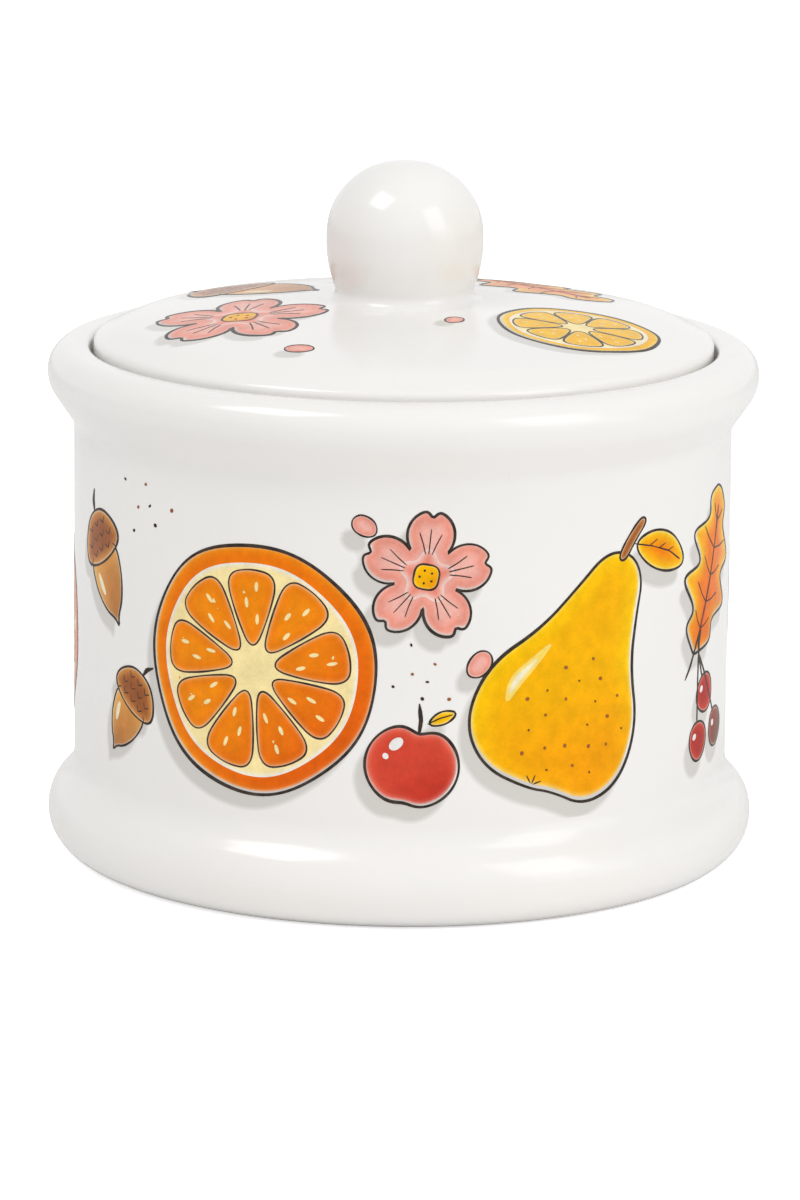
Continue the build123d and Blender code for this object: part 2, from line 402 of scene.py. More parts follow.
def chaikin(points, rounds=3):
    """A smooth closed line by few points, made by cutting the corners round after round."""
    points = np.asarray(points, float)
    for _ in range(rounds):
        run = np.roll(points, -1, 0) - points
        cut = [points + share * run for share in (CORNER_CUT, 1 - CORNER_CUT)]
        points = np.stack(cut, 1).reshape(-1, 2)
    return points


def polar(radius_at, count=180):
    """A closed line round the origin, with its radius as a function of the angle."""
    angle = np.arange(count) * 2 * pi / count
    radius = radius_at(angle)
    return np.stack([radius * np.cos(angle), radius * np.sin(angle)], 1)


def swung(points, angle, at=(0, 0), size=1.0):
    """Points turned by an angle in degrees, scaled, and moved."""
    turn = radians(angle)
    points = np.asarray(points, float) * size
    return points @ np.array([[cos(turn), sin(turn)], [-sin(turn), cos(turn)]]) + np.asarray(at)


def resampled(points, closed, step):
    """The same line with its points at equal steps."""
    points = np.vstack([points, points[:1]]) if closed else np.asarray(points, float)
    lengths = lengths_along(points)
    count = max(3, round(lengths[-1] / step))
    at = np.linspace(0, lengths[-1], count + 1)
    if closed:
        at = at[:-1]
    return np.stack([np.interp(at, lengths, points[:, i]) for i in (0, 1)], 1)


def area(outline):
    x, y = outline.T
    return 0.5 * (x @ np.roll(y, -1) - y @ np.roll(x, -1))


def anticlockwise(outline):
    return outline if area(outline) > 0 else outline[::-1]


def inset(outline, depth, shift=(0, 0)):
    """An outline drawn in by a depth, and shifted as a hand-placed colour is."""
    outline = resampled(anticlockwise(outline), True, OUTLINE_STEP)
    return outline - line_normals(outline, True) * depth + np.asarray(shift)


def edge_distance(points, outline):
    """Distance of each point from a closed outline."""
    run = np.roll(outline, -1, 0) - outline
    offset = points[:, None] - outline[None]
    share = np.clip((offset * run).sum(2) / np.maximum((run**2).sum(1), TINY), 0, 1)
    return np.linalg.norm(offset - share[..., None] * run, axis=2).min(1)


def inside(points, outline):
    """Which points lie within a closed outline."""
    x, y = points[:, 0:1], points[:, 1:2]
    (x0, y0), (x1, y1) = outline.T, np.roll(outline, -1, 0).T
    with np.errstate(divide="ignore", invalid="ignore"):
        crosses = ((y0 > y) != (y1 > y)) & (x < (x1 - x0) * (y - y0) / (y1 - y0) + x0)
    return crosses.sum(1) % 2 == 1


# ---- printed films

FILM_UNDER = -0.05  # mm; the films start below the glaze and stand a hair above it
COLOUR_LIFT, LAYER_LIFT, INK_LIFT = 0.03, 0.008, 0.07
OVER_INK = 6  # the layer of a colour that hides the ink of what lies behind it
COLOUR_GRID, GRID_START = 2.0, 0.37  # mm between the points inside a colour, and where they start
# mm in from a colour's edge, where its soft edge is drawn, and the step between the points there
EDGE_RINGS = ((0.6, 1), (1.4, 1), (2.6, 2))
RING_ROOM, GRID_ROOM = 0.8, 3.4  # a ring's share of its depth, and mm, kept free of other points
MERGE = 1e-4  # mm between points that the triangulation takes as one
PEN_STEP = 0.7  # mm between the points of a pen line
SLOW_WANDER, FAST_WANDER, WANDER_LENGTH = 0.14, 0.1, 6.0  # shares of the width, and mm for a radian
TIP_START, TIP_LENGTH, TIP_LEAST = 0.15, 2.2, 0.12  # mm, line widths and share, at open ends
SPOT_POINTS, SPOT_WANDER = 14, 0.08
SHADOW_STEP = 1.5  # mm between the points of an outline that casts a printed shadow
COLOUR, INK = 0, 1  # material places on a film


def linear(colour):
    """A colour as the eye reads it, as the amounts of light that a shader takes."""
    colour = np.asarray(colour, float)
    return np.where(colour < 0.04045, colour / 12.92, ((colour + 0.055) / 1.055) ** 2.4)


class Film:
    """One printed motif: layers of colour and ink in flat millimetres, laid on a skin."""

    def __init__(self, name, skin, centre, turn, size):
        self.name, self.skin, self.centre, self.turn, self.size = name, skin, centre, turn, size
        self.points, self.normals, self.colours, self.faces, self.inks = [], [], [], [], []
        self.count = 0
        self.silhouettes = []

    def placed(self, flat):
        return swung(flat, self.turn, self.centre, self.size)

    def add(self, flat, lift, colours, faces, ink):
        """A closed sheet over flat faces: a top, an underside and walls."""
        flat, colours = self.placed(flat), np.broadcast_to(colours, (len(flat), 3))
        for height in (lift, FILM_UNDER):
            points, normals = self.skin.lay(flat, height)
            self.points.append(points)
            self.normals.append(normals)
            self.colours.append(colours)
        top, under = self.count, self.count + len(flat)
        edges = {(face[i - 1], face[i]) for face in faces for i in range(len(face))}
        sheet = [tuple(top + i for i in face) for face in faces]
        sheet += [tuple(under + i for i in reversed(face)) for face in faces]
        sheet += [(top + b, top + a, under + a, under + b) for a, b in edges if (b, a) not in edges]
        self.faces += sheet
        self.inks += [ink] * len(sheet)
        self.count += 2 * len(flat)

    def colour(self, outline, paint, layer=0, depth=0.0, shift=(0, 0)):
        """A field of colour inside an outline."""
        outline = resampled(inset(outline, depth, shift), True, OUTLINE_STEP)
        normals = line_normals(outline, True)
        spans = zip(outline.min(0), outline.max(0))
        grid = np.meshgrid(*(np.arange(low, high, COLOUR_GRID) for low, high in spans))
        grid = np.stack(grid, 2).reshape(-1, 2) + GRID_START
        grid[:, 0] += (np.round(grid[:, 1] / COLOUR_GRID) % 2) * COLOUR_GRID / 2
        inner = [(outline[::step] - normals[::step] * ring, RING_ROOM * ring)
                 for ring, step in EDGE_RINGS] + [(grid, GRID_ROOM)]
        kept = [points[inside(points, outline) & (edge_distance(points, outline) > room)]
                for points, room in inner]
        count = len(outline)
        result = delaunay_2d_cdt([Vector(v) for v in np.vstack([outline] + kept)],
                                 [(i, (i + 1) % count) for i in range(count)], [], 1, MERGE)
        flat = np.array([tuple(v) for v in result[0]])
        faces = [tuple(face) for face in result[2]]
        faces = [face if area(flat[list(face)]) > 0 else face[::-1] for face in faces]
        colours = paint(flat, edge_distance(flat, outline))
        self.add(flat, COLOUR_LIFT + LAYER_LIFT * layer, linear(colours), faces, COLOUR)

    def line(self, line, width=0.75, closed=False, layer=0):
        """A pen line whose width wanders a little, and that thins out at open ends."""
        line = resampled(line, closed, PEN_STEP)
        count = len(line)
        length = PEN_STEP * np.arange(count)
        seed = float(abs(line[0]).sum())
        around = 2 * pi * np.arange(count) / count if closed else length / WANDER_LENGTH
        slow, fast = np.sin(2 * around + seed), np.sin(5 * around + 2 * seed)
        half = width / 2 * (1 + SLOW_WANDER * slow + FAST_WANDER * fast)
        if not closed:
            to_end = np.minimum(length, length[-1] - length) + TIP_START
            half *= np.sqrt(np.clip(to_end / (TIP_LENGTH * width), TIP_LEAST, 1))
        normals = line_normals(line, closed)
        flat = np.vstack([line + normals * half[:, None], line - normals * half[:, None]])
        runs = count if closed else count - 1
        faces = [(i, (i + 1) % count, count + (i + 1) % count, count + i) for i in range(runs)]
        self.add(flat, INK_LIFT + LAYER_LIFT * layer, WHITE_GLAZE, faces, INK)

    def spot(self, at, radius, colour=None, layer=1, stretch=1.0, turn=0.0):
        """A small round or oval mark, in ink or in a colour."""
        ring = polar(lambda a: radius * (1 + SPOT_WANDER * np.sin(2 * a + at[0])), SPOT_POINTS)
        paint, kind = (WHITE_GLAZE, INK) if colour is None else (linear(colour), COLOUR)
        self.add(swung(ring * (stretch, 1), turn, at), INK_LIFT + LAYER_LIFT * layer, paint,
                 [tuple(range(SPOT_POINTS))], kind)

    def outline(self, outline, width=0.75, layer=0):
        """The pen line round a motif, which also casts the motif's printed shadow."""
        self.line(outline, width, closed=True, layer=layer)
        self.silhouettes.append(self.placed(resampled(anticlockwise(outline), True, SHADOW_STEP)))

    def build(self):
        """The motif's piece, which rides on the body of its skin."""
        piece = new_object(self.name, np.vstack(self.points), self.faces)
        mesh = piece.data
        mesh.polygons.foreach_set("material_index", self.inks)
        layer = mesh.attributes.new("print_colour", "FLOAT_COLOR", "POINT")
        colours = np.vstack(self.colours)
        layer.data.foreach_set("color", np.hstack([colours, np.ones((len(colours), 1))]).ravel())
        mesh.normals_split_custom_set_from_vertices(np.vstack(self.normals).tolist())
        for material in (print_colour, print_ink):
            mesh.materials.append(material)
        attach(piece, self.skin.body)


# ---- colours of the print

WHITE_GLAZE = (0.885, 0.870, 0.842)  # the glaze, as light
PAPER = (0.947, 0.940, 0.927)  # the same as the eye reads it
YELLOW, AMBER = (0.99, 0.79, 0.02), (0.97, 0.71, 0.01)
ORANGE, BURNT = (0.95, 0.48, 0.03), (0.88, 0.35, 0.04)
PULP = (0.97, 0.56, 0.05)
CREAM = (0.99, 0.91, 0.66)
RED, CRIMSON = (0.83, 0.28, 0.20), (0.69, 0.14, 0.10)
PINK, ROSE = (0.95, 0.72, 0.67), (0.92, 0.53, 0.45)
TAN, BROWN, UMBER = (0.87, 0.60, 0.30), (0.62, 0.36, 0.19), (0.43, 0.25, 0.14)
SCARLET, HONEY = (0.90, 0.36, 0.27), (0.95, 0.74, 0.42)
EDGE_FADE = 0.55  # how pale a wash is at its very edge
BLUSH_WAY = np.array([0.6, -0.8])  # the side of a motif that its blush lies on
BLUSH_START, BLUSH_AMOUNT = 0.05, 0.9


def mixed(first, second, share):
    share = np.clip(share, 0, 1)[:, None]
    return np.asarray(first) * (1 - share) + np.asarray(second) * share


def washed(core, rim, blush=None, size=1.0, soft=1.0, reach=5.0):
    """A watercolour wash: pale at its very edge, then rim, then core, with a blush on one side."""
    def paint(flat, edge):
        colours = mixed(rim, core, edge / reach)
        if blush is not None:
            colours = mixed(colours, blush, BLUSH_AMOUNT * (flat @ BLUSH_WAY / size - BLUSH_START))
        return mixed(colours, PAPER, EDGE_FADE * (1 - np.clip(edge / soft, 0, 1)))
    return paint


# ---- motifs, in their own flat millimetres


def citrus(film, radius, rind, pulp, deep, segments):
    """A cut fruit: rind, pith and segments with pulp marks."""
    edge = polar(lambda a: radius * (1 + 0.012 * np.sin(3 * a + 1) + 0.007 * np.sin(7 * a)))
    film.colour(edge, washed(rind, pulp, deep, radius, soft=0.7, reach=2.5), depth=0.5,
                shift=(0.3, 0.3))
    film.colour(edge * 0.86, washed(CREAM, PAPER, soft=0.5, reach=1.2), layer=1)
    half = 180 / segments - 2.6
    for k in range(segments):
        middle = 360 * k / segments + 4
        reach = radius * (0.80 + 0.015 * sin(2.3 * k))
        belly = reach * 0.55 * tan(radians(half)) + 0.4
        corners = [(radius * 0.11, 0), (reach * 0.55, -belly), swung((reach, 0), -half),
                   (reach * 1.03, 0), swung((reach, 0), half), (reach * 0.55, belly)]
        wedge = swung(chaikin(corners), middle)
        film.colour(wedge, washed(pulp, rind, deep, radius, soft=0.8, reach=3.0), layer=2,
                    depth=0.15)
        film.line(wedge, 0.42, closed=True)
        for j in range(3):
            place = swung((radius * (0.40 + 0.13 * j), (j % 2 - 0.5) * radius * 0.09), middle)
            film.spot(place, radius * 0.016, CREAM, stretch=2.6, turn=middle)
    film.outline(edge, 0.8)


def orange_slice(film):
    citrus(film, 31, ORANGE, PULP, BURNT, 9)


def lemon_slice(film):
    citrus(film, 17, AMBER, YELLOW, AMBER, 8)


def pear(film):
    """A ripe pear with a freckled skin, a stem and one leaf."""
    body = chaikin([(-2, -36), (5, -34.5), (17, -35), (26, -25), (25.5, -9), (16, 5), (12, 19),
                    (10, 29), (3, 34), (-6, 31.5), (-11, 20), (-17, 6), (-27, -8), (-27, -25),
                    (-17, -35)])
    stem = chaikin([(-1.4, 31), (-0.6, 37), (2.2, 44.5), (5.0, 44), (2.6, 37), (1.4, 31)])
    leaf = chaikin([(2.2, 36.5), (9, 43), (19, 44), (28, 38), (20, 33), (10, 32.5)])
    film.colour(leaf, washed(ORANGE, YELLOW, BURNT, 40, soft=0.8), depth=0.3)
    film.line([(3, 36.6), (10, 38), (18, 38.8), (24, 38)], 0.4)
    for k in range(3):
        film.line([(9 + 4 * k, 37.9 + 0.3 * k), (11.5 + 4 * k, 40.4)], 0.3)
    film.outline(leaf, 0.65)
    film.colour(body, washed(AMBER, YELLOW, ORANGE, 62, soft=1.1, reach=7.0), layer=1, depth=0.7,
                shift=(-0.5, 0.5))
    gleam = chaikin([(-18, -18), (-20.5, -10), (-16, -2), (-11.5, 5), (-13.5, -3), (-16, -10)])
    film.colour(gleam, washed(PAPER, YELLOW, soft=0.4, reach=1.6), layer=2)
    for k in range(22):
        away, turn = 3.6 * sqrt(k + 2), 2.4 * k
        place = (3 + away * cos(turn), -14 + 1.05 * away * sin(turn))
        film.spot(place, 0.34 + 0.12 * (k % 3), BROWN if k % 3 else UMBER)
    film.colour(stem, washed(BROWN, TAN, UMBER, 50, soft=0.3, reach=1.0), layer=OVER_INK, depth=0.1)
    film.line(stem, 0.6, closed=True, layer=2)
    for k in (-1, 0, 1):
        film.line([(-1.5 + 0.4 * k, -34.4), (-1.5 + 2.4 * k, -31.8 - abs(k))], 0.5)
    film.outline(body, 0.85)


def blossom(film, radius=19.0):
    """Five notched petals round a yellow eye."""
    def reach(a):
        lobe = np.abs(np.cos(2.5 * a)) ** 0.55
        notch = np.exp(-((np.sin(2.5 * a) / 0.16) ** 2))
        return radius * (0.44 + 0.56 * lobe) * (1 - 0.10 * notch)
    petals = chaikin(polar(reach, 240), rounds=1)
    film.colour(petals, washed(PINK, ROSE, soft=0.9, reach=4.0), depth=0.4, shift=(0.25, 0.25))
    film.colour(polar(lambda a: radius * (0.36 + 0.07 * np.cos(5 * a))),
                washed(ROSE, PINK, soft=1.6, reach=2.5), layer=1)
    for k in range(5):
        for side in (-1, 0, 1):
            vein = [(radius * 0.34, side * 0.9), (radius * 0.5, side * 1.9),
                    (radius * (0.66 + 0.07 * (side == 0)), side * 3.2)]
            film.line(swung(vein, 72 * k + 0.5), 0.32)
    eye = polar(lambda a: radius * 0.2 * (1 + 0.06 * np.sin(4 * a)))
    film.colour(eye, washed(AMBER, YELLOW, BURNT, 8, soft=0.3, reach=1.2), layer=2)
    film.line(eye, 0.55, closed=True)
    for k in range(5):
        film.spot(swung((radius * 0.10, 0), 72 * k + 20), radius * 0.018)
    film.outline(petals, 0.75)


def apple(film, radius=11.0):
    """A small red apple with a stem and a leaf."""
    def reach(a):
        dip = np.exp(-(((a - pi / 2 + pi) % (2 * pi) - pi) / 0.36) ** 2)
        foot = np.exp(-(((a + pi / 2 + pi) % (2 * pi) - pi) / 0.30) ** 2)
        return radius * (1 + 0.05 * np.cos(2 * a) - 0.20 * dip - 0.09 * foot)
    body = polar(reach)
    film.colour(body, washed(RED, SCARLET, CRIMSON, 14, soft=0.8, reach=3.0), depth=0.4,
                shift=(-0.2, 0.25))
    film.spot((-radius * 0.45, radius * 0.42), radius * 0.13, PAPER, stretch=1.3, turn=50)
    film.spot((-radius * 0.62, radius * 0.10), radius * 0.07, PAPER, turn=80)
    leaf = chaikin([(1, radius * 0.95), (3.5, radius * 1.36), (8.5, radius * 1.42),
                    (6, radius * 1.05)])
    film.colour(leaf, washed(AMBER, YELLOW, soft=0.4, reach=1.5), depth=0.1)
    film.line([(1.4, radius), (4, radius * 1.18), (7, radius * 1.32)], 0.3)
    film.outline(leaf, 0.5)
    film.line([(0, radius * 0.72), (-0.3, radius * 1.05), (-1.6, radius * 1.42)], 1.0)
    film.outline(body, 0.7)


def acorn(film):
    """A nut in its scaled cup."""
    nut = chaikin([(-8.5, 3), (-8, -6), (-4.5, -13), (-0.8, -16), (0, -19), (0.8, -16), (4.5, -13),
                   (8, -6), (8.5, 3)])
    cup = chaikin([(-10.5, 1), (-11, 6), (-6, 12), (0, 13.5), (6, 12), (11, 6), (10.5, 1),
                   (0, -1.2)])
    film.colour(nut, washed(TAN, HONEY, BROWN, 16, soft=0.6, reach=4.0), depth=0.3)
    film.colour(chaikin([(-5.2, -1), (-5.6, -6), (-3, -10.5), (-3.2, -5)]),
                washed(PAPER, CREAM, soft=0.3, reach=1.2), layer=1)
    film.outline(nut, 0.65)
    film.colour(cup, washed(BROWN, TAN, UMBER, 16, soft=0.5, reach=3.0), layer=OVER_INK, depth=0.3)
    for row in range(3):
        for k in range(5 - row):
            x = (k - (4 - row) / 2) * 4.2
            y = 2.6 + 3.4 * row - 0.02 * x * x
            film.line([(x - 1.5, y + 1.1), (x, y - 0.4), (x + 1.5, y + 1.1)], 0.4, layer=2)
    film.line([(0, 13), (0.6, 16), (2.6, 18.5)], 1.3, layer=2)
    film.outline(cup, 0.7, layer=2)


def oak_leaf(film, length=44.0):
    """A lobed autumn leaf with its veins."""
    share = np.linspace(0, 1, 90)
    lobes = 1 + 0.30 * np.sin(2 * pi * 3.6 * share - 0.6)
    width = length * 0.27 * np.sin(pi * share) ** 0.7 * lobes
    bend = length * 0.05 * np.sin(pi * share)
    middle = length * (share - 0.5)
    right, left = (np.stack([bend + side * width, middle], 1) for side in (1, -1))
    edge = chaikin(np.vstack([right[:-1], left[:0:-1]])[::3], rounds=2)
    film.colour(edge, washed(ORANGE, YELLOW, BURNT, length * 0.5, soft=0.9, reach=5.0), depth=0.5,
                shift=(0.3, 0.3))
    rib = np.stack([bend, middle], 1)
    tail = [(-0.6, -length * 0.58), (-1.8, -length * 0.66)]
    film.line(np.vstack([tail[::-1], rib[:-8:6]]), 0.7)
    for at in range(14, 80, 14):
        for side in (-1, 1):
            end = rib[at] + (side * width[at] * 0.62, length * 0.085)
            film.line([rib[at], (rib[at] + end) / 2 - (0, 0.4), end], 0.38)
    film.outline(edge, 0.7)


def berries(film):
    """Three berries on a forked twig."""
    for at, lean in (((-7, -5), 20), ((6.5, -8), -10), ((1, 6), 5)):
        film.line([(0, 19), (at[0] * 0.35, 12), (at[0] * 0.9, at[1] + 5)], 0.7)
        berry = polar(lambda a: 5.6 * (1 + 0.03 * np.sin(3 * a + lean))) + at
        film.colour(berry, washed(CRIMSON, RED, UMBER, 12, soft=0.5, reach=2.4), layer=1,
                    depth=0.25)
        film.spot((at[0] - 2, at[1] + 2.2), 0.9, PAPER, layer=2, stretch=1.3, turn=lean)
        film.outline(berry, 0.6)
    film.line([(0, 18), (0.8, 22), (3.4, 25)], 1.1)


def seeds(film):
    """A pinch of loose seeds and dots."""
    for k in range(7):
        away = 2.2 + 1.9 * k
        film.spot(swung((away, 0), 137.5 * k), 0.42 + 0.12 * (k % 3), BROWN if k % 2 else None,
                  stretch=1.0 + 0.5 * (k % 3 == 0), turn=50 * k)


def petal_drop(film):
    """One fallen petal."""
    drop = chaikin([(0, -4.5), (3.4, -2), (3.2, 3), (0, 4.8), (-2.8, 2.6), (-2.6, -2)])
    film.colour(drop, washed(PINK, ROSE, soft=0.6, reach=2.0), depth=0.2)
    film.outline(drop, 0.5)


# name, motif, mm right of the front, mm above the table, turn in degrees, size
WALL_LAYOUT = [
    ("orange", orange_slice, -37, 63, 8, 1.0),
    ("pear", pear, 47, 63, -24, 0.90),
    ("blossom", blossom, 6, 88, 12, 0.86),
    ("red_fruit", apple, 3, 41, -12, 1.0),
    ("acorn_left", acorn, -91, 82, 28, 0.95),
    ("acorn_right", acorn, -78, 47, -32, 0.80),
    ("leaf", oak_leaf, 97, 80, -22, 1.0),
    ("berries", berries, 97, 43, 18, 0.9),
    ("petal_first", petal_drop, 19, 66, -40, 0.9),
    ("petal_second", petal_drop, -9, 100, 60, 0.8),
    ("seeds_front", seeds, 5, 62, 0, 0.7),
    ("seeds_left", seeds, -71, 98, 40, 0.8),
    ("lemon_back", lemon_slice, 147, 68, 0, 1.25),
    ("blossom_back", blossom, 193, 84, 30, 1.0),
    ("red_fruit_back", apple, 188, 42, 10, 1.05),
    ("leaf_back", oak_leaf, 228, 62, 28, 1.0),
    ("pear_back", pear, -218, 64, 16, 0.85),
    ("berries_back", berries, -172, 84, -14, 1.0),
    ("orange_back", orange_slice, -138, 58, 20, 0.78),
    ("petal_back", petal_drop, -176, 46, 10, 1.0),
    ("acorn_back", acorn, 262, 86, 22, 0.95),
    ("petal_low_back", petal_drop, 274, 58, -30, 1.0),
    ("seeds_back", seeds, 257, 43, 80, 0.75),
]

# name, motif, degrees to the right of the front, mm from the axis, turn in degrees, size
LID_LAYOUT = [
    ("lid_blossom", blossom, -66, 45, 10, 1.18),
    ("lid_lemon", lemon_slice, 60, 50, 0, 1.18),
    ("lid_leaf", oak_leaf, 133, 50, 222, 1.06),
    ("lid_red_fruit", apple, 182, 47, 160, 1.3),
    ("lid_acorn", acorn, 236, 48, 52, 1.25),
    ("lid_petal_first", petal_drop, -26, 58, 75, 0.9),
    ("lid_petal_second", petal_drop, 24, 30, -20, 0.75),
]

# ---- materials

GLAZE_IOR, COAT_ROUGHNESS = 1.5, 0.10
# scale per metre, detail, height in mm
GLAZE_BUMPS = [(28, 1.0, 0.30), (95, 2.0, 0.035), (700, 2.0, 0.0012)]
CLAY_BUMPS = [(1200, 3.0, 0.03)]
CLOUDED_GLAZE = (0.868, 0.856, 0.832)
SHADE_GREY, SHADE_AMOUNT = (0.60, 0.575, 0.54), 0.86
# mm into the mapped depth where a printed shadow starts, and how wide its soft edge is
SHADE_START, SHADE_SOFT = 2.2, 1.3
# cells per metre, the values of those that hold a speck, and its core and edge in cells
SPECK_CELLS, SPECK_CHOSEN, SPECK_SIZE = 150.0, (0.80, 0.81), (0.022, 0.040)
SPECK_BROWN, SPECK_AMOUNT = (0.34, 0.30, 0.25), 0.5
CLAY_DARK, CLAY_PALE = (0.66, 0.62, 0.55), (0.80, 0.77, 0.71)
INK_DARK, INK_THIN = (0.030, 0.022, 0.018), (0.085, 0.062, 0.050)
GLAZE_LINE = 0.35  # mm above the table, where the glaze was wiped off before firing


def add_node(tree, kind, **settings):
    """A node with its settings; names that are sockets set those sockets' values."""
    node = tree.nodes.new(kind)
    for key, value in settings.items():
        if key in node.inputs and not hasattr(node, key):
            node.inputs[key].default_value = value
        else:
            setattr(node, key, value)
    return node


def on_object(tree, kind, **settings):
    """A texture in the object's own metres."""
    node = add_node(tree, kind, **settings)
    places = add_node(tree, "ShaderNodeTexCoord")
    tree.links.new(places.outputs["Object"], node.inputs["Vector"])
    return node.outputs


def noise(tree, scale, detail):
    return on_object(tree, "ShaderNodeTexNoise", Scale=scale, Detail=detail)["Fac"]


def attribute(tree, name):
    """The outputs of a value that the mesh's points carry."""
    return add_node(tree, "ShaderNodeAttribute", attribute_name=name).outputs


def fed(tree, node, values):
    """The node, with inputs fed by numbers, colours or other nodes' outputs."""
    for place, value in values.items():
        if isinstance(value, (float, int)):
            node.inputs[place].default_value = value
        elif isinstance(value, tuple):
            node.inputs[place].default_value = (*value, 1)
        else:
            tree.links.new(value, node.inputs[place])
    return node


def blended(tree, factor, first, second, mode="MIX"):
    """The mix of two colours."""
    node = add_node(tree, "ShaderNodeMix", data_type="RGBA", blend_type=mode)
    return fed(tree, node, {0: factor, 6: first, 7: second}).outputs[2]


def maths(tree, operation, first, second):
    node = add_node(tree, "ShaderNodeMath", operation=operation)
    return fed(tree, node, {0: first, 1: second}).outputs[0]


def ranged(tree, value, low, high, to_low, to_high):
    node = add_node(tree, "ShaderNodeMapRange")
    spans = {"From Min": low, "From Max": high, "To Min": to_low, "To Max": to_high}
    return fed(tree, node, {"Value": value, **spans}).outputs["Result"]


def mottled(tree, scale, detail, to_low, to_high, low=0.3, high=0.7):
    """Noise, with the values that it mostly has brought to a range."""
    return ranged(tree, noise(tree, scale, detail), low, high, to_low, to_high)


def white_glaze(tree):
    """White glaze with the print's soft shadows, faint clouds and a few iron specks."""
    depth = attribute(tree, "shade_depth")["Fac"]
    shade = ranged(tree, depth, SHADE_START, SHADE_START + SHADE_SOFT, 0.0, SHADE_AMOUNT)
    colour = blended(tree, mottled(tree, 22, 3.0, 0.0, 1.0), WHITE_GLAZE, CLOUDED_GLAZE)
    colour = blended(tree, shade, colour, SHADE_GREY)
    cells = on_object(tree, "ShaderNodeTexVoronoi", Scale=SPECK_CELLS)
    few = ranged(tree, cells["Color"], *SPECK_CHOSEN, 0.0, 1.0)
    small = ranged(tree, cells["Distance"], *SPECK_SIZE, SPECK_AMOUNT, 0.0)
    colour = blended(tree, maths(tree, "MULTIPLY", few, small), colour, SPECK_BROWN)
    return {"Base Color": colour, "Roughness": mottled(tree, 60, 2.0, 0.14, 0.22)}


def raw_clay(tree):
    """The dry ground clay of the foot ring."""
    return {"Base Color": blended(tree, noise(tree, 900, 4.0), CLAY_DARK, CLAY_PALE)}


def printed_colour(tree):
    """Print colours, taken from the film, with the mottling and grain of a wash."""
    mottle, grain = mottled(tree, 260, 4.0, 0.90, 1.08), mottled(tree, 1500, 2.0, 0.95, 1.03)
    return {"Base Color": blended(tree, 1.0, attribute(tree, "print_colour")["Color"],
                                  maths(tree, "MULTIPLY", mottle, grain), "MULTIPLY")}


def printed_ink(tree):
    """Brown-black pen line, a little thinner in places."""
    thin = mottled(tree, 500, 3.0, 0.0, 1.0, 0.35, 0.75)
    return {"Base Color": blended(tree, thin, INK_DARK, INK_THIN)}


def surfaced(name, look, bumps, roughness, gloss, coat=0.0):
    """A material: plain numbers, a look made in its tree, and bumps one over the other."""
    material = bpy.data.materials.new(name)
    material.use_nodes = True
    tree = material.node_tree
    shader = fed(tree, tree.nodes["Principled BSDF"], {
        "Roughness": roughness, "IOR": GLAZE_IOR, "Specular IOR Level": gloss,
        "Coat Weight": coat, "Coat Roughness": COAT_ROUGHNESS})
    fed(tree, shader, look(tree))
    last = {}
    for scale, detail, height in bumps:
        bump = add_node(tree, "ShaderNodeBump", Strength=1.0, Distance=height * MM)
        fed(tree, bump, {"Height": noise(tree, scale, detail), **last})
        last = {"Normal": bump.outputs["Normal"]}
    fed(tree, shader, {**last, "Coat Normal": last["Normal"]})
    return material


def vectors(elements, key):
    """A vector in mm of each point or face of a mesh."""
    values = np.empty(3 * len(elements))
    elements.foreach_get(key, values)
    return values.reshape(-1, 3) / MM


def bare_clay(mesh):
    """Raw clay on the ring that stands on the table."""
    mesh.materials.append(clay)
    bare = vectors(mesh.polygons, "center")[:, 2] < GLAZE_LINE
    mesh.polygons.foreach_set("material_index", bare.astype(int))


white = surfaced("white_glaze", white_glaze, GLAZE_BUMPS, roughness=0.16, gloss=0.5, coat=0.3)
clay = surfaced("raw_clay", raw_clay, CLAY_BUMPS, roughness=0.85, gloss=0.5)
print_colour = surfaced("print_colour", printed_colour, GLAZE_BUMPS, roughness=0.20, gloss=0.08)
print_ink = surfaced("print_ink", printed_ink, GLAZE_BUMPS, roughness=0.20, gloss=0.08)
for piece in (jar, lid, knob):
    piece.data.materials.append(white)
bare_clay(jar.data)

# ---- laying the print

SHADE_SHIFT = np.array([-2.5, -3.7])  # mm, where the printed shadows fall
SHADE_REACH, SHADE_FLOOR = 3.0, 4.0  # mm outside and inside a motif's shadow that are mapped
SKIN_REACH = 0.5  # mm from a skin, within which a point of the glaze is part of it


def map_shade(skin, films):
    """How deep each point of the glaze lies in a printed shadow, from SHADE_REACH outside it."""
    mesh = skin.target.data
    points = vectors(mesh.vertices, "co")
    flat = skin.flat(points)
    on_skin = np.linalg.norm(skin.lay(flat, 0.0)[0] - points, axis=1) < SKIN_REACH
    depth = np.zeros(len(points))
    for film in films:
        for outline in film.silhouettes:
            middle = outline.mean(0)
            offset = skin.apart(flat, middle + SHADE_SHIFT)
            near = outline - middle
            size = abs(near).max(0) + SHADE_REACH
            rows = np.flatnonzero(on_skin & (abs(offset) < size).all(1))
            edge = edge_distance(offset[rows], near) * np.where(inside(offset[rows], near), 1, -1)
            edge = np.clip(edge, -SHADE_REACH, SHADE_FLOOR) + SHADE_REACH
            depth[rows] = np.maximum(depth[rows], edge)
    layer = mesh.attributes.new("shade_depth", "FLOAT", "POINT")
    layer.data.foreach_set("value", depth)


def printed(skin, layout, place):
    """Every motif of a layout, and the shadows that they print on the glaze."""
    films = []
    for name, motif, right, away, turn, size in layout:
        centre = np.array(place(right, away), float)
        film = Film("print_" + name, skin, centre, turn, size)
        motif(film)
        film.build()
        films.append(film)
    map_shade(skin, films)


def lid_place(right, out):
    return out * sin(radians(right)), -out * cos(radians(right))


printed(wall_skin, WALL_LAYOUT, lambda right, height: (right, height))
printed(dome_skin, LID_LAYOUT, lid_place)

# ---- camera, light and floor

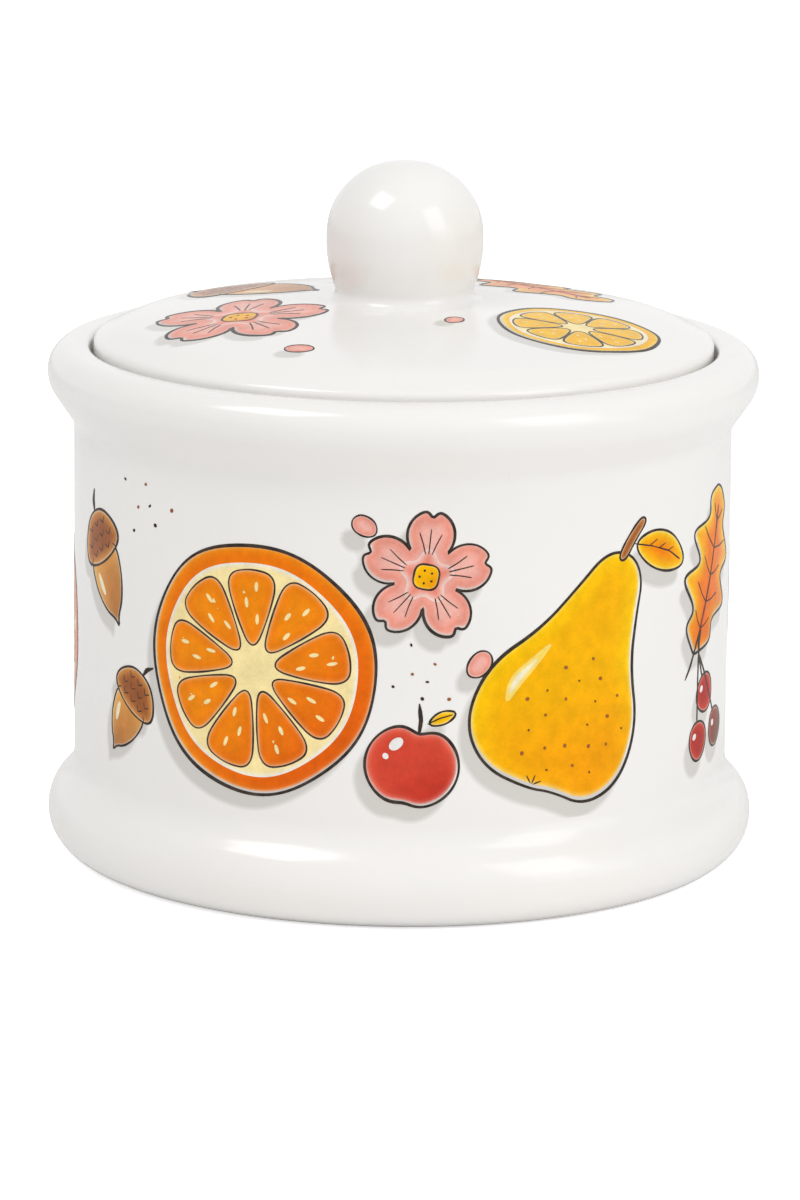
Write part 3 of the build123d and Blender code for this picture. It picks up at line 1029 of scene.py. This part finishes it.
PHOTO_HEIGHT, FOCAL_PIXELS = 1200, 5857.0
SENSOR = 36.0  # mm
TARGET_HEIGHT = 71.0  # mm, the point that the fitted camera looks at
CAMERA_DISTANCE, CAMERA_SIDE = 1496.5, -0.3  # mm from the target, and to the right of it
CAMERA_TILT, CAMERA_ROLL = 12.351, 0.60  # degrees below level, and round the camera's own axis
TARGET_PIXEL = 571.8  # the target's height in the picture, from its top


def make_camera():
    data = bpy.data.cameras.new("camera")
    data.sensor_width = SENSOR
    data.lens = FOCAL_PIXELS * SENSOR / PHOTO_HEIGHT
    camera = linked("camera", data)
    tilt = radians(CAMERA_TILT)
    camera.location = Vector((CAMERA_SIDE, -CAMERA_DISTANCE * cos(tilt),
                              TARGET_HEIGHT + CAMERA_DISTANCE * sin(tilt))) * MM
    below_middle = atan((PHOTO_HEIGHT / 2 - TARGET_PIXEL) / FOCAL_PIXELS)
    look = Matrix.Rotation(pi / 2 - tilt - below_middle, 4, "X")
    camera.rotation_euler = (look @ Matrix.Rotation(radians(CAMERA_ROLL), 4, "Z")).to_euler()
    bpy.context.scene.camera = camera


# name, azimuth from the viewer's side towards +X, elevation, m from the aim, size in m, watts
LAMPS = [
    ("softbox_left", -60, 57, 1.3, (0.56, 0.50), 3.2),
    ("softbox_right", 51, 31, 1.4, (0.65, 0.85), 2.9),
    ("low_fill", 60, 6, 1.4, (0.9, 0.6), 1.1),
]
LAMP_AIM = Vector((0, 0, 0.09))  # m, the middle of the jar


def area_light(name, azimuth, elevation, distance, size, power):
    """A softbox aimed at the jar."""
    data = bpy.data.lights.new(name, "AREA")
    data.shape = "RECTANGLE"
    data.size, data.size_y = size
    data.energy = power
    lamp = linked(name, data)
    a, e = radians(azimuth), radians(elevation)
    lamp.location = LAMP_AIM + distance * Vector((sin(a) * cos(e), -cos(a) * cos(e), sin(e)))
    lamp.rotation_euler = (LAMP_AIM - lamp.location).to_track_quat("-Z", "Y").to_euler()


def seen_directly(tree):
    """1 for the rays that show a surface: to the camera, in a reflection or through glass."""
    rays = add_node(tree, "ShaderNodeLightPath").outputs
    seen = maths(tree, "MAXIMUM", rays["Is Camera Ray"], rays["Is Glossy Ray"])
    return maths(tree, "MAXIMUM", seen, rays["Is Transmission Ray"])


def seen_as(tree, plain, shown, output):
    """Gives an output its plain shader, and the shown one to the rays that see it directly."""
    values = {"Fac": seen_directly(tree), 1: plain.outputs[0], 2: shown.outputs[0]}
    mix = fed(tree, add_node(tree, "ShaderNodeMixShader"), values)
    tree.links.new(mix.outputs[0], output.inputs["Surface"])


WORLD_LIGHT, WORLD_WHITE = 0.55, (1, 1, 1, 1)
WORLD_LEAN = (0.11, -0.22, 0.22)  # more light from the right, the viewer's side and overhead


def white_world():
    """Soft light all round, stronger where the lean points; it is seen as plain white."""
    world = bpy.data.worlds.new("studio")
    world.use_nodes = True
    tree = world.node_tree
    light = tree.nodes["Background"]
    light.inputs["Color"].default_value = WORLD_WHITE
    way = add_node(tree, "ShaderNodeTexCoord")
    lean = add_node(tree, "ShaderNodeVectorMath", operation="DOT_PRODUCT")
    lean.inputs[1].default_value = WORLD_LEAN
    tree.links.new(way.outputs["Generated"], lean.inputs[0])
    fed(tree, light, {"Strength": maths(tree, "ADD", lean.outputs["Value"], WORLD_LIGHT)})
    seen = add_node(tree, "ShaderNodeBackground", Color=WORLD_WHITE)
    seen_as(tree, light, seen, tree.nodes["World Output"])
    bpy.context.scene.world = world


FLOOR_HALF = 6000  # mm
FLOOR_WHITE = (0.97, 0.97, 0.97, 1)
# Glow that lights nothing, and brings the floor up to white for the camera and in reflections
CAMERA_GLOW, MIRROR_GLOW = 0.62, 0.04


def pale_floor():
    """A wide white floor that keeps the jar's shadow."""
    half = FLOOR_HALF
    corners = [(-half, -half, 0), (half, -half, 0), (half, half, 0), (-half, half, 0)]
    floor = new_object("floor", corners, [(0, 1, 2, 3)], smooth=False)
    material = bpy.data.materials.new("pale_floor")
    material.use_nodes = True
    tree = material.node_tree
    tree.nodes.clear()
    output = add_node(tree, "ShaderNodeOutputMaterial")
    diffuse = add_node(tree, "ShaderNodeBsdfDiffuse", Color=FLOOR_WHITE)
    to_camera = add_node(tree, "ShaderNodeLightPath").outputs["Is Camera Ray"]
    strength = ranged(tree, to_camera, 0, 1, MIRROR_GLOW, CAMERA_GLOW)
    glow = fed(tree, add_node(tree, "ShaderNodeEmission"), {"Strength": strength})
    both = add_node(tree, "ShaderNodeAddShader")
    fed(tree, both, {0: diffuse.outputs[0], 1: glow.outputs[0]})
    seen_as(tree, diffuse, both, output)
    floor.data.materials.append(material)


make_camera()
white_world()
pale_floor()
for lamp in LAMPS:
    area_light(*lamp)
bpy.context.scene.view_settings.view_transform = "Standard"
